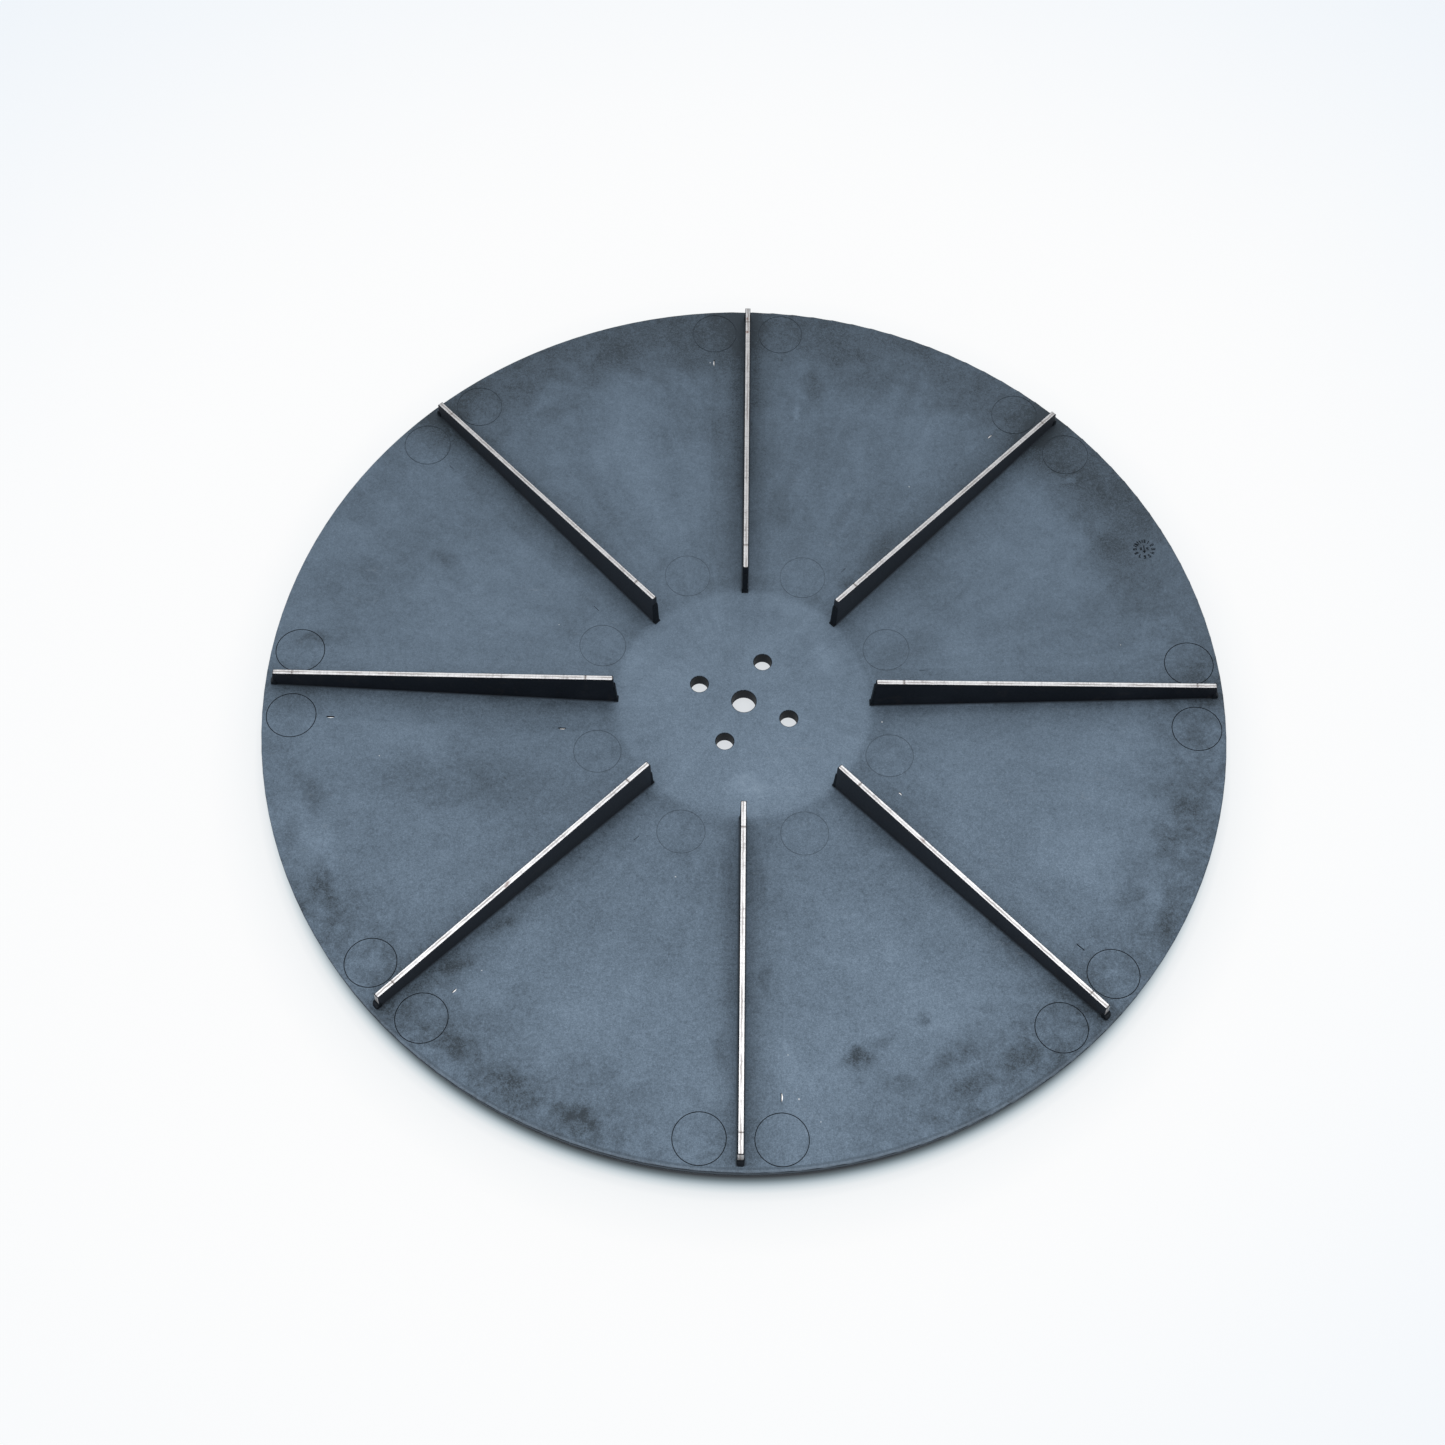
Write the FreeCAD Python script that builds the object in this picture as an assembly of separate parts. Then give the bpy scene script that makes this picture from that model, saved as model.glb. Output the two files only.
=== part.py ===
import FreeCAD, Part
import math
import os
from FreeCAD import Vector as V

os.makedirs("parts", exist_ok=True)

# ------------------------------------------------------------------
# Spreader disc: a dished, injection-moulded disc that carries eight
# radial sheet-steel vanes as overmoulded inserts.
# Millimetres. +Z up, spin axis on Z, origin at the centre of the flat
# underside of the hub.
# ------------------------------------------------------------------

# disc
DISC_R = 175.0            # outside radius
THICK = 6.0               # wall of hub and dish, measured along Z
HUB_FLAT_R = 44.0         # where the flat hub turns into the dish
HUB_BLEND = 4.0           # half-length of the blend between the two
DISH_SLOPE = 0.0785       # rise per mm of radius outside the hub
RIM_TOP_R = 0.5           # rounding of the top edge of the rim
RIM_BOTTOM_R = 0.8        # rounding of the bottom edge of the rim
PART_LINE_UP = 3.1        # parting line height above the rim's lower edge
PART_LINE_STEP = 0.15     # the lower half of the wall stands back by this

# holes
CENTRE_BORE_R = 4.5       # 9.0 mm clearance hole for M8
BOLT_HOLE_R = 3.3         # 6.6 mm clearance holes for M6
BOLT_PCD = 36.0
BOLT_COUNT = 4
BOLT_START_DEG = 67.5     # midway between two vanes
HOLE_EDGE = 0.3           # edge break at the top of each hole

# vanes
VANE_COUNT = 8
SHEET = 2.0               # sheet thickness
VANE_R_IN = 47.7
VANE_R_OUT = 170.75       # outer end, at the top edge
VANE_END_LEAN = 0.125     # the outer end leans out towards its foot, mm per mm
VANE_TOP_IN = THICK + 16.6
VANE_TOP_OUT = THICK + 17.64
VANE_CORNER_R = 0.5
VANE_EDGE = 0.22          # deburred long top edges
BEND_R = 1.0              # inside bend radius
FLANGE_EDGE = 13.95       # free edge of the buried flange, from the vane's middle plane
FLANGE_DEPTH = 1.2        # plastic over the flange
NICK_FROM_IN = 10.0       # shallow nicks across the top edge
NICK_FROM_OUT = 7.0
NICK_W = 0.45
NICK_D = 0.28

# stand-off nibs on the flange
NIB_ALONG = (66.5, 150.0)
NIB_R = 3.07
NIB_CHORD_OFF = 13.34     # flat side of the nib
NIB_SAG = 0.45
NIB_SKIN = 0.24           # the nib stops this far below the surface
NIB_GAP_W = 0.32          # slit beside the nib, on the vane's side
NIB_GAP_D = 0.7

# nibs that show through the plastic: (vane index, nib index, size factor)
NIB_SHOWS = (
    (4, 1, 1.0), (4, 0, 0.95),
    (6, 1, 1.0),
    (1, 1, 0.78),
    (2, 1, 0.9),
    (5, 1, 0.62),
    (7, 0, 0.5),
)
# nibs under a skin that has sunk to a fine line: (vane index, nib index, length, width, depth)
NIB_SCARS = (
    (5, 1, 3.3, 0.36, 0.55), (7, 1, 3.4, 0.34, 0.5),
    (5, 0, 2.6, 0.20, 0.16), (3, 0, 2.8, 0.20, 0.2), (3, 1, 2.5, 0.20, 0.16),
    (1, 0, 2.6, 0.18, 0.12), (0, 0, 2.4, 0.18, 0.12), (7, 0, 2.0, 0.18, 0.14),
)

# moulded ribs that close the vanes' inner ends
RIB_W = 2.04
RIB_BASE = 0.9
RIB_TOP = 0.5
RIB_HEIGHTS = (13.4, 12.2, 12.0, 12.2, 11.2, 9.6, 11.2, 10.4)   # short-shot ribs differ a little
RIB_FLASH_W = 2.5
RIB_FLASH_OUT = 1.25
RIB_FLASH_H = 0.5

# moulded feet that close the vanes' outer ends
FOOT_W = 2.6
FOOT_IN = 170.6           # hidden inner face, inside the vane
FOOT_OUT = 173.0          # toe
FOOT_HEEL = 171.75        # where the slanted front meets the top
FOOT_H = 2.7
FOOT_TOE_H = 0.3
FOOT_ROUND = 0.95

# ejector-pin witness rings
EJ_OUT_ALONG = 164.0
EJ_OUT_OFF = 13.4
EJ_OUT_D = 17.9
EJ_IN_R = 57.6
EJ_IN_D = 17.4
EJ_GROOVE_W = 0.30
EJ_GROOVE_D = 0.20
EJ_IN_GROOVE_W = 0.22
EJ_IN_GROOVE_D = 0.09

# mould-date dial
DIAL_R = 164.9
DIAL_DEG = 22.5
DIAL_NUM_R = 3.45         # middle of the ring of numerals
DIAL_NUM_H = 1.5
DIAL_NUM_W = 0.85
DIAL_STROKE = 0.32
DIAL_DEPTH = 0.24

# which of the seven strokes make up each digit: top, upper left, upper right,
# middle, lower left, lower right, bottom
DIGITS = {
    "0": "1110111", "1": "0010010", "2": "1011101", "3": "1011011", "4": "0111010",
    "5": "1101011", "6": "1101111", "7": "1010010", "8": "1111111", "9": "1111011",
}


def surf(r):
    """Height of the upper surface at radius r."""
    return THICK + max(0.0, r - HUB_FLAT_R) * DISH_SLOPE


def turned(shape, deg):
    s = shape.copy()
    s.rotate(V(0, 0, 0), V(0, 0, 1), deg)
    return s


def fuse_all(shapes):
    out = shapes[0]
    if len(shapes) > 1:
        out = out.multiFuse(shapes[1:])
    return out


def prism_xz(pts, y0, y1):
    """Closed x-z outline swept from y0 to y1."""
    w = Part.makePolygon([V(x, y0, z) for x, z in pts] + [V(pts[0][0], y0, pts[0][1])])
    return Part.Face(w).extrude(V(0, y1 - y0, 0))


def blend_arc(z_shift):
    """The tangent arc between hub and dish, as two end points and a middle."""
    a = math.atan(DISH_SLOPE)
    t = HUB_BLEND
    rad = t / math.tan(a / 2.0)
    p0 = V(HUB_FLAT_R - t, 0, z_shift)
    p1 = V(HUB_FLAT_R + t * math.cos(a), 0, z_shift + t * math.sin(a))
    c = V(HUB_FLAT_R - t, 0, z_shift + rad)
    pm = V(c.x + rad * math.sin(a / 2.0), 0, c.z - rad * math.cos(a / 2.0))
    return p0, pm, p1


def disc_body():
    rim_bot = (DISC_R - HUB_FLAT_R) * DISH_SLOPE
    rim_top = rim_bot + THICK
    t0, tm, t1 = blend_arc(THICK)
    b0, bm, b1 = blend_arc(0.0)
    lower_r = DISC_R - PART_LINE_STEP
    k = DISH_SLOPE
    # rim outline, going down from the top surface
    top_in = V(DISC_R - RIM_TOP_R, 0, rim_top - RIM_TOP_R * k)
    top_mid = V(DISC_R - RIM_TOP_R * 0.29, 0, rim_top - RIM_TOP_R * 0.29)
    top_out = V(DISC_R, 0, rim_top - RIM_TOP_R)
    pl_up = V(DISC_R, 0, rim_bot + PART_LINE_UP)
    pl_lo = V(lower_r, 0, rim_bot + PART_LINE_UP - 0.25)
    bot_out = V(lower_r - 0.12, 0, rim_bot + RIM_BOTTOM_R)
    bot_mid = V(lower_r - 0.12 - RIM_BOTTOM_R * 0.29, 0, rim_bot + RIM_BOTTOM_R * 0.27)
    bot_in = V(lower_r - 0.12 - RIM_BOTTOM_R, 0, rim_bot - (DISC_R - lower_r + 0.12 + RIM_BOTTOM_R) * k)
    edges = [
        Part.makeLine(V(0, 0, 0), b0),
        Part.Arc(b0, bm, b1).toShape(),
        Part.makeLine(b1, bot_in),
        Part.Arc(bot_in, bot_mid, bot_out).toShape(),
        Part.makeLine(bot_out, pl_lo),
        Part.makeLine(pl_lo, pl_up),
        Part.makeLine(pl_up, top_out),
        Part.Arc(top_out, top_mid, top_in).toShape(),
        Part.makeLine(top_in, t1),
        Part.Arc(t1, tm, t0).toShape(),
        Part.makeLine(t0, V(0, 0, THICK)),
        Part.makeLine(V(0, 0, THICK), V(0, 0, 0)),
    ]
    wire = Part.Wire(Part.__sortEdges__(edges))
    return Part.Face(wire).revolve(V(0, 0, 0), V(0, 0, 1), 360)


def vane():
    """One vane along +X: upright leg, buried flange and two nibs."""
    a = math.atan(DISH_SLOPE)
    h = SHEET / 2.0
    ro = BEND_R + SHEET
    d0 = FLANGE_DEPTH
    d1 = FLANGE_DEPTH + SHEET
    s45 = math.sqrt(0.5)
    # section across the vane: y sideways, n square to the dish
    co = (-h + ro, -d1 + ro)
    ci = (h + BEND_R, -d0 + BEND_R)
    p = lambda y, n: V(0, y, n)
    up = 26.0
    sec = [
        Part.makeLine(p(-h, up), p(-h, co[1])),
        Part.Arc(p(-h, co[1]), p(co[0] - ro * s45, co[1] - ro * s45), p(co[0], -d1)).toShape(),
        Part.makeLine(p(co[0], -d1), p(FLANGE_EDGE, -d1)),
        Part.makeLine(p(FLANGE_EDGE, -d1), p(FLANGE_EDGE, -d0)),
        Part.makeLine(p(FLANGE_EDGE, -d0), p(ci[0], -d0)),
        Part.Arc(p(ci[0], -d0), p(ci[0] - BEND_R * s45, ci[1] - BEND_R * s45), p(h, ci[1])).toShape(),
        Part.makeLine(p(h, ci[1]), p(h, up)),
        Part.makeLine(p(h, up), p(-h, up)),
    ]
    face = Part.Face(Part.Wire(Part.__sortEdges__(sec)))
    bar = face.extrude(V(150, 0, 0))
    # tilt to the dish and set on the surface line
    bar.translate(V(-10, 0, 0))
    bar.rotate(V(0, 0, 0), V(0, 1, 0), -math.degrees(a))
    bar.translate(V(VANE_R_IN, 0, surf(VANE_R_IN)))
    # side outline with rounded upper corners
    r = VANE_CORNER_R
    tk = (VANE_TOP_OUT - VANE_TOP_IN) / (VANE_R_OUT - VANE_R_IN)
    zi = VANE_TOP_IN
    zo = VANE_TOP_OUT
    lean = VANE_END_LEAN
    out_base = VANE_R_OUT + lean * zo
    side = [
        Part.makeLine(V(VANE_R_IN, -5, 0), V(VANE_R_IN, -5, zi - r)),
        Part.Arc(V(VANE_R_IN, -5, zi - r), V(VANE_R_IN + r * (1 - s45), -5, zi - r * (1 - s45)),
                 V(VANE_R_IN + r, -5, zi + tk * r)).toShape(),
        Part.makeLine(V(VANE_R_IN + r, -5, zi + tk * r), V(VANE_R_OUT - r, -5, zo - tk * r)),
        Part.Arc(V(VANE_R_OUT - r, -5, zo - tk * r), V(VANE_R_OUT - r * (0.96 - s45), -5, zo - r * (1 - s45)),
                 V(VANE_R_OUT + lean * r, -5, zo - r)).toShape(),
        Part.makeLine(V(VANE_R_OUT + lean * r, -5, zo - r), V(out_base, -5, 0)),
        Part.makeLine(V(out_base, -5, 0), V(VANE_R_IN, -5, 0)),
    ]
    blank = Part.Face(Part.Wire(Part.__sortEdges__(side))).extrude(V(0, 25, 0))
    body = bar.common(blank)
    # deburred top edges: bevel strips along both sides of the top
    e = VANE_EDGE
    cuts = []
    for sg in (-1, 1):
        tri = Part.Face(Part.makePolygon([
            V(VANE_R_IN - 1, sg * h, zi + 0.5), V(VANE_R_IN - 1, sg * (h + 0.5), zi + 0.5),
            V(VANE_R_IN - 1, sg * (h + 0.5), zi - e - tk), V(VANE_R_IN - 1, sg * h, zi - e - tk),
            V(VANE_R_IN - 1, sg * (h - e), zi - tk), V(VANE_R_IN - 1, sg * (h - e), zi + 0.5),
            V(VANE_R_IN - 1, sg * h, zi + 0.5)]))
        cuts.append(tri.extrude(V(VANE_R_OUT - VANE_R_IN + 2, 0, (VANE_R_OUT - VANE_R_IN + 2) * tk)))
    # nicks across the top edge
    for x in (VANE_R_IN + NICK_FROM_IN, VANE_R_OUT - NICK_FROM_OUT):
        z = zi + (x - VANE_R_IN) * tk
        cuts.append(prism_xz([(x - NICK_W / 2, z + 0.02), (x, z - NICK_D), (x + NICK_W / 2, z + 0.02)], -2, 2))
    body = body.cut(cuts)
    # nibs
    nibs = [nib(x, -FLANGE_DEPTH - 0.3, -NIB_SKIN) for x in NIB_ALONG]
    body = body.fuse(nibs).removeSplitter()
    return body.Solids[0] if len(body.Solids) == 1 else body


def nib(x, n0, n1):
    """Segment-shaped post at the flange's edge, from depth n0 to n1."""
    z = surf(x)
    yc = NIB_CHORD_OFF + NIB_SAG - NIB_R
    cyl = Part.makeCylinder(NIB_R, n1 - n0, V(x, yc, z + n0))
    keep = Part.makeBox(20, 10, 40, V(x - 10, NIB_CHORD_OFF, 0))
    return cyl.common(keep)


def nib_window(x, f):
    """The break in the skin over a nib, with the slit on its vane side."""
    z = surf(x)
    r = NIB_R * f
    apex = NIB_CHORD_OFF + NIB_SAG - 0.05
    chord = apex - NIB_SAG * f * 0.95
    cyl = Part.makeCylinder(r, 2.0, V(x, apex - r, z - NIB_SKIN - 0.03))
    keep = Part.makeBox(20, 10, 40, V(x - 10, chord, 0))
    half = math.sqrt(r ** 2 - (r - (apex - chord)) ** 2) * 0.93
    slit = Part.makeBox(2 * half, NIB_GAP_W + 0.05, NIB_GAP_D + 2, V(x - half, chord - NIB_GAP_W, z - NIB_GAP_D))
    return cyl.common(keep).fuse(slit)


def nib_scar(x, length, width, depth):
    """A fine sunk line over a covered nib."""
    return Part.makeBox(length, width, depth + 2, V(x - length / 2, NIB_CHORD_OFF - 0.1 - width, surf(x) - depth))


def rib(height):
    x0 = VANE_R_IN
    z0 = surf(x0)
    h = RIB_W / 2
    body = prism_xz([(x0 + 0.3, z0 - 1), (x0 - RIB_BASE, z0 - 1), (x0 - RIB_BASE, z0),
                     (x0 - RIB_TOP, z0 + height - 0.5), (x0 - RIB_TOP + 0.35, z0 + height),
                     (x0 + 0.3, z0 + height)], -h, h)
    w = RIB_FLASH_W / 2
    plinth = prism_xz([(x0 + 0.3, z0 - 1), (x0 - RIB_FLASH_OUT, z0 - 1), (x0 - RIB_FLASH_OUT, z0 + RIB_FLASH_H * 0.3),
                       (x0 - RIB_FLASH_OUT + 0.3, z0 + RIB_FLASH_H), (x0 + 0.3, z0 + RIB_FLASH_H)], -w, w)
    return body.fuse(plinth)


def foot():
    """Slant-fronted foot with rounded outer corners."""
    z0 = surf(VANE_R_OUT)
    h = FOOT_W / 2
    block = Part.makeBox(FOOT_OUT - FOOT_IN, FOOT_W, FOOT_H + 1.6, V(FOOT_IN, -h, z0 - 1.0))
    outer = [ed for ed in block.Edges if abs(ed.BoundBox.XMin - FOOT_OUT) < 1e-6 and abs(ed.BoundBox.XMax - FOOT_OUT) < 1e-6
             and ed.BoundBox.ZMax - ed.BoundBox.ZMin > 1.0]
    block = block.makeFillet(FOOT_ROUND, outer)
    zt = surf(FOOT_OUT)
    prof = prism_xz([(FOOT_IN - 1, z0 - 2), (FOOT_OUT + 0.5, z0 - 2), (FOOT_OUT + 0.5, zt + FOOT_TOE_H - 0.4), (FOOT_OUT, zt + FOOT_TOE_H),
                     (FOOT_HEEL + 0.25, z0 + FOOT_H - 0.25), (FOOT_HEEL - 0.1, z0 + FOOT_H), (FOOT_IN - 1, z0 + FOOT_H)], -5, 5)
    return block.common(prof)


def skin(depth, above=1.0):
    """Thin layer that follows the upper surface, for engraved marks."""
    t1 = HUB_FLAT_R + 4.2
    pts = [V(t1, 0, surf(t1) - depth), V(DISC_R + 2, 0, surf(DISC_R + 2) - depth),
           V(DISC_R + 2, 0, surf(DISC_R + 2) + above), V(t1, 0, surf(t1) + above)]
    f = Part.Face(Part.makePolygon(pts + [pts[0]]))
    return f.revolve(V(0, 0, 0), V(0, 0, 1), 360)


def ring_tool(cx, cy, dia, width):
    o = Part.makeCylinder(dia / 2, 24, V(cx, cy, 2))
    i = Part.makeCylinder(dia / 2 - width, 24, V(cx, cy, 2))
    return o.cut(i)


def digit(ch, w, h):
    """Strokes of one digit, centred on the origin, upright along +Y."""
    t = DIAL_STROKE
    m = DIGITS[ch]
    if ch == "1":
        return [Part.makeBox(t, h, 24, V(-t / 2, -h / 2, 2))]
    half = h / 2 + t / 2
    at = [
        (-w / 2, h / 2 - t, w, t), (-w / 2, -t / 2, t, half), (w / 2 - t, -t / 2, t, half),
        (-w / 2, -t / 2, w, t), (-w / 2, -h / 2, t, half), (w / 2 - t, -h / 2, t, half), (-w / 2, -h / 2, w, t),
    ]
    return [Part.makeBox(bw, bh, 24, V(bx, by, 2)) for (bx, by, bw, bh), on in zip(at, m) if on == "1"]


def number(text, w, h):
    """One or two digits side by side, as one shape."""
    out = []
    if len(text) == 1:
        out = digit(text, w, h)
    else:
        for i, ch in enumerate(text):
            for b in digit(ch, w * 0.82, h):
                out.append(b.translated(V((i - 0.5) * w * 1.02, 0, 0)))
    return fuse_all(out).removeSplitter()


def dial_tools():
    """Twelve numerals round an arrow with a digit on each side of it."""
    out = []
    for k in range(12):
        n = number(str(k + 1), DIAL_NUM_W, DIAL_NUM_H)
        n.translate(V(0, DIAL_NUM_R, 0))
        out.append(turned(n, -30.0 * (k + 1)))
    shaft = Part.makeBox(0.36, 2.6, 24, V(-0.18, -0.9, 2))
    head = Part.Face(Part.makePolygon([V(-0.72, -0.7, 2), V(0, -1.85, 2), V(0.72, -0.7, 2), V(-0.72, -0.7, 2)])).extrude(V(0, 0, 24))
    out.append(shaft.fuse(head).removeSplitter())
    for sg, ch in ((-1, "0"), (1, "4")):
        d = number(ch, 0.8, 1.25)
        d.translate(V(sg * 1.22, 0.15, 0))
        out.append(d)
    a = math.radians(DIAL_DEG)
    for s in out:
        s.translate(V(DIAL_R * math.cos(a), DIAL_R * math.sin(a), 0))
    return out


def main():
    step = 360.0 / VANE_COUNT
    v0 = vane()
    vanes = [turned(v0, step * k) for k in range(VANE_COUNT)]

    body = disc_body()
    adds = []
    f0 = foot()
    for k in range(VANE_COUNT):
        adds.append(turned(rib(RIB_HEIGHTS[k]), step * k))
        adds.append(turned(f0, step * k))
    body = body.fuse(adds)

    cuts = []
    # bores, with a broken upper edge
    holes = [(0.0, 0.0, CENTRE_BORE_R)]
    for k in range(BOLT_COUNT):
        t = math.radians(BOLT_START_DEG + 360.0 / BOLT_COUNT * k)
        holes.append((BOLT_PCD / 2 * math.cos(t), BOLT_PCD / 2 * math.sin(t), BOLT_HOLE_R))
    for x, y, r in holes:
        cuts.append(Part.makeCylinder(r, THICK + 4, V(x, y, -2)))
        cuts.append(Part.makeCone(r, r + HOLE_EDGE + 0.5, HOLE_EDGE + 0.5, V(x, y, THICK - HOLE_EDGE)))
    body = body.cut(cuts)

    # engraved marks
    pins = []
    inner = []
    for k in range(VANE_COUNT):
        t = math.radians(step * k)
        for sg in (-1, 1):
            x, y = EJ_OUT_ALONG, sg * EJ_OUT_OFF
            pins.append(ring_tool(x * math.cos(t) - y * math.sin(t), x * math.sin(t) + y * math.cos(t), EJ_OUT_D, EJ_GROOVE_W))
        m = t + math.radians(step / 2)
        inner.append(ring_tool(EJ_IN_R * math.cos(m), EJ_IN_R * math.sin(m), EJ_IN_D, EJ_IN_GROOVE_W))
    for tools, depth in ((pins, EJ_GROOVE_D), (inner, EJ_IN_GROOVE_D), (dial_tools(), DIAL_DEPTH)):
        layer = skin(depth)
        body = body.cut([m.common(layer) for m in tools])

    # nib windows and their slits, and the fine lines over the covered nibs
    wins = []
    for vi, ni, f in NIB_SHOWS:
        wins.append(turned(nib_window(NIB_ALONG[ni], f), step * vi))
    for vi, ni, length, width, depth in NIB_SCARS:
        if (vi, ni) not in [(a, b) for a, b, f in NIB_SHOWS]:
            wins.append(turned(nib_scar(NIB_ALONG[ni], length, width, depth), step * vi))
    body = body.cut(wins)

    # pockets for the inserts
    body = body.cut(vanes)
    solids = sorted(body.Solids, key=lambda s: -s.Volume)
    disc = solids[0]
    for s in solids[1:]:
        print("dropped loose piece", round(s.Volume, 4), s.BoundBox)

    disc.exportStep("parts/spreader_disc.step")
    for k, v in enumerate(vanes):
        v.exportStep("parts/vane_%d.step" % (k + 1))
    print("disc", disc.isValid(), round(disc.Volume / 1000.0, 2), "cm3", disc.BoundBox)
    print("vane", v0.isValid(), v0.ShapeType, len(v0.Solids), round(v0.Volume / 1000.0, 3), "cm3", v0.BoundBox)
    c = disc.common(fuse_all(vanes))
    print("overlap", round(c.Volume, 5))


main()
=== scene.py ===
import math
import random

import bmesh
import bpy
from mathutils import Matrix, Vector, noise


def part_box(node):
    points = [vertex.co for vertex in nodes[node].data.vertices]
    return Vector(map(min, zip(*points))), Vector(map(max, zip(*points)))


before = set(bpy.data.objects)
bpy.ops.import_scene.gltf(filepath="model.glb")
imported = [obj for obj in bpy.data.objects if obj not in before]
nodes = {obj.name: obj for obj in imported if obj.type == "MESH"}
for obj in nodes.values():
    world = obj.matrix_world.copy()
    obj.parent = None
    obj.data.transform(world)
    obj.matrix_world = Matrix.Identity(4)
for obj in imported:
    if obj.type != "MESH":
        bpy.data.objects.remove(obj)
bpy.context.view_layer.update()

random.seed(7)
scene = bpy.context.scene

# ------------------------------------------------------------------
# Sizes shared with the CAD, in metres
# ------------------------------------------------------------------
MM = 0.001
lo_d, hi_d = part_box("spreader_disc")
DISC_R = (hi_d.x - lo_d.x) / 2
THICK = 6.0 * MM
HUB_FLAT_R = 44.0 * MM
SLOPE = 0.0785
VANE_N = 8
VANE_R_IN = 47.7 * MM
VANE_R_OUT = 170.8 * MM
DIAL = (164.9 * MM * math.cos(math.radians(22.5)), 164.9 * MM * math.sin(math.radians(22.5)))


def surf(r):
    return THICK + max(0.0, r - HUB_FLAT_R) * SLOPE


# ------------------------------------------------------------------
# Camera
# ------------------------------------------------------------------
def make_camera():
    az, el, roll = math.radians(-1.6021), math.radians(62.579), math.radians(0.9253)
    R = DISC_R
    d = 3.6164 * R
    lift = Vector((0, 0, THICK))
    eye = Vector((math.sin(az) * math.cos(el), -math.cos(az) * math.cos(el), math.sin(el))) * d
    aim = Vector((-0.0447 * R, -0.0515 * R, 0.0))
    fwd = (aim - eye).normalized()
    right = fwd.cross(Vector((0, 0, 1))).normalized()
    up = right.cross(fwd)
    r2 = right * math.cos(roll) + up * math.sin(roll)
    u2 = up * math.cos(roll) - right * math.sin(roll)
    m = Matrix((r2, u2, -fwd)).transposed().to_4x4()
    m.translation = eye + lift
    data = bpy.data.cameras.new("camera")
    data.sensor_width = 36.0
    data.lens = 1707.16 / 1445.0 * 36.0
    data.clip_start = 0.01
    data.clip_end = 20.0
    cam = bpy.data.objects.new("camera", data)
    scene.collection.objects.link(cam)
    cam.matrix_world = m
    scene.camera = cam
    return cam


camera = make_camera()


# ------------------------------------------------------------------
# Node helpers
# ------------------------------------------------------------------
class Mat:
    """A small builder for shader trees."""

    def __init__(self, name):
        self.m = bpy.data.materials.new(name)
        self.m.use_nodes = True
        self.t = self.m.node_tree
        self.t.nodes.clear()
        self.out = self.t.nodes.new("ShaderNodeOutputMaterial")
        self.bsdf = self.t.nodes.new("ShaderNodeBsdfPrincipled")
        self.t.links.new(self.bsdf.outputs[0], self.out.inputs[0])

    def node(self, kind, **kw):
        n = self.t.nodes.new(kind)
        for k, v in kw.items():
            setattr(n, k, v)
        return n

    def link(self, a, b):
        self.t.links.new(a, b)

    def put(self, sock, v):
        if hasattr(v, "links") or isinstance(v, bpy.types.NodeSocket):
            self.link(v, sock)
        else:
            sock.default_value = v

    def math(self, op, a, b=0.0, c=None, clamp=False):
        n = self.node("ShaderNodeMath", operation=op, use_clamp=clamp)
        self.put(n.inputs[0], a)
        self.put(n.inputs[1], b)
        if c is not None:
            self.put(n.inputs[2], c)
        return n.outputs[0]

    def ramp(self, v, stops, interp="LINEAR"):
        n = self.node("ShaderNodeValToRGB")
        n.color_ramp.interpolation = interp
        el = n.color_ramp.elements
        while len(el) < len(stops):
            el.new(0.5)
        for e, (p, c) in zip(el, stops):
            e.position = p
            e.color = (c, c, c, 1) if isinstance(c, (int, float)) else (*c, 1)
        self.link(v, n.inputs[0])
        return n.outputs[0]

    def range(self, v, a, b, c=0.0, d=1.0, smooth=True):
        n = self.node("ShaderNodeMapRange", interpolation_type="SMOOTHSTEP" if smooth else "LINEAR")
        n.clamp = True
        self.put(n.inputs["Value"], v)
        self.put(n.inputs["From Min"], a)
        self.put(n.inputs["From Max"], b)
        self.put(n.inputs["To Min"], c)
        self.put(n.inputs["To Max"], d)
        return n.outputs["Result"]

    def noise(self, vec, scale, detail=3.0, rough=0.5, dist=0.0):
        n = self.node("ShaderNodeTexNoise")
        self.put(n.inputs["Vector"], vec)
        n.inputs["Scale"].default_value = scale
        n.inputs["Detail"].default_value = detail
        n.inputs["Roughness"].default_value = rough
        n.inputs["Distortion"].default_value = dist
        return n.outputs["Fac"]

    def voronoi(self, vec, scale, feature="F1"):
        n = self.node("ShaderNodeTexVoronoi", feature=feature)
        self.put(n.inputs["Vector"], vec)
        n.inputs["Scale"].default_value = scale
        return n.outputs["Distance"]

    def mix(self, f, a, b, blend="MIX"):
        n = self.node("ShaderNodeMix", data_type="RGBA", blend_type=blend)
        n.clamp_factor = True
        self.put(n.inputs[0], f)
        for s, v in ((n.inputs[6], a), (n.inputs[7], b)):
            if isinstance(v, tuple):
                s.default_value = (*v, 1) if len(v) == 3 else v
            else:
                self.link(v, s)
        return n.outputs[2]

    def xyz(self, vec):
        n = self.node("ShaderNodeSeparateXYZ")
        self.link(vec, n.inputs[0])
        return n.outputs

    def vec(self, x, y, z):
        n = self.node("ShaderNodeCombineXYZ")
        for s, v in zip(n.inputs, (x, y, z)):
            self.put(s, v)
        return n.outputs[0]

    def scaled(self, vec, s):
        n = self.node("ShaderNodeVectorMath", operation="MULTIPLY")
        self.link(vec, n.inputs[0])
        n.inputs[1].default_value = s
        return n.outputs[0]

    def bump(self, h, strength, dist, normal=None):
        n = self.node("ShaderNodeBump")
        n.inputs["Strength"].default_value = strength
        n.inputs["Distance"].default_value = dist
        self.link(h, n.inputs["Height"])
        if normal is not None:
            self.link(normal, n.inputs["Normal"])
        return n.outputs[0]


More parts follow.
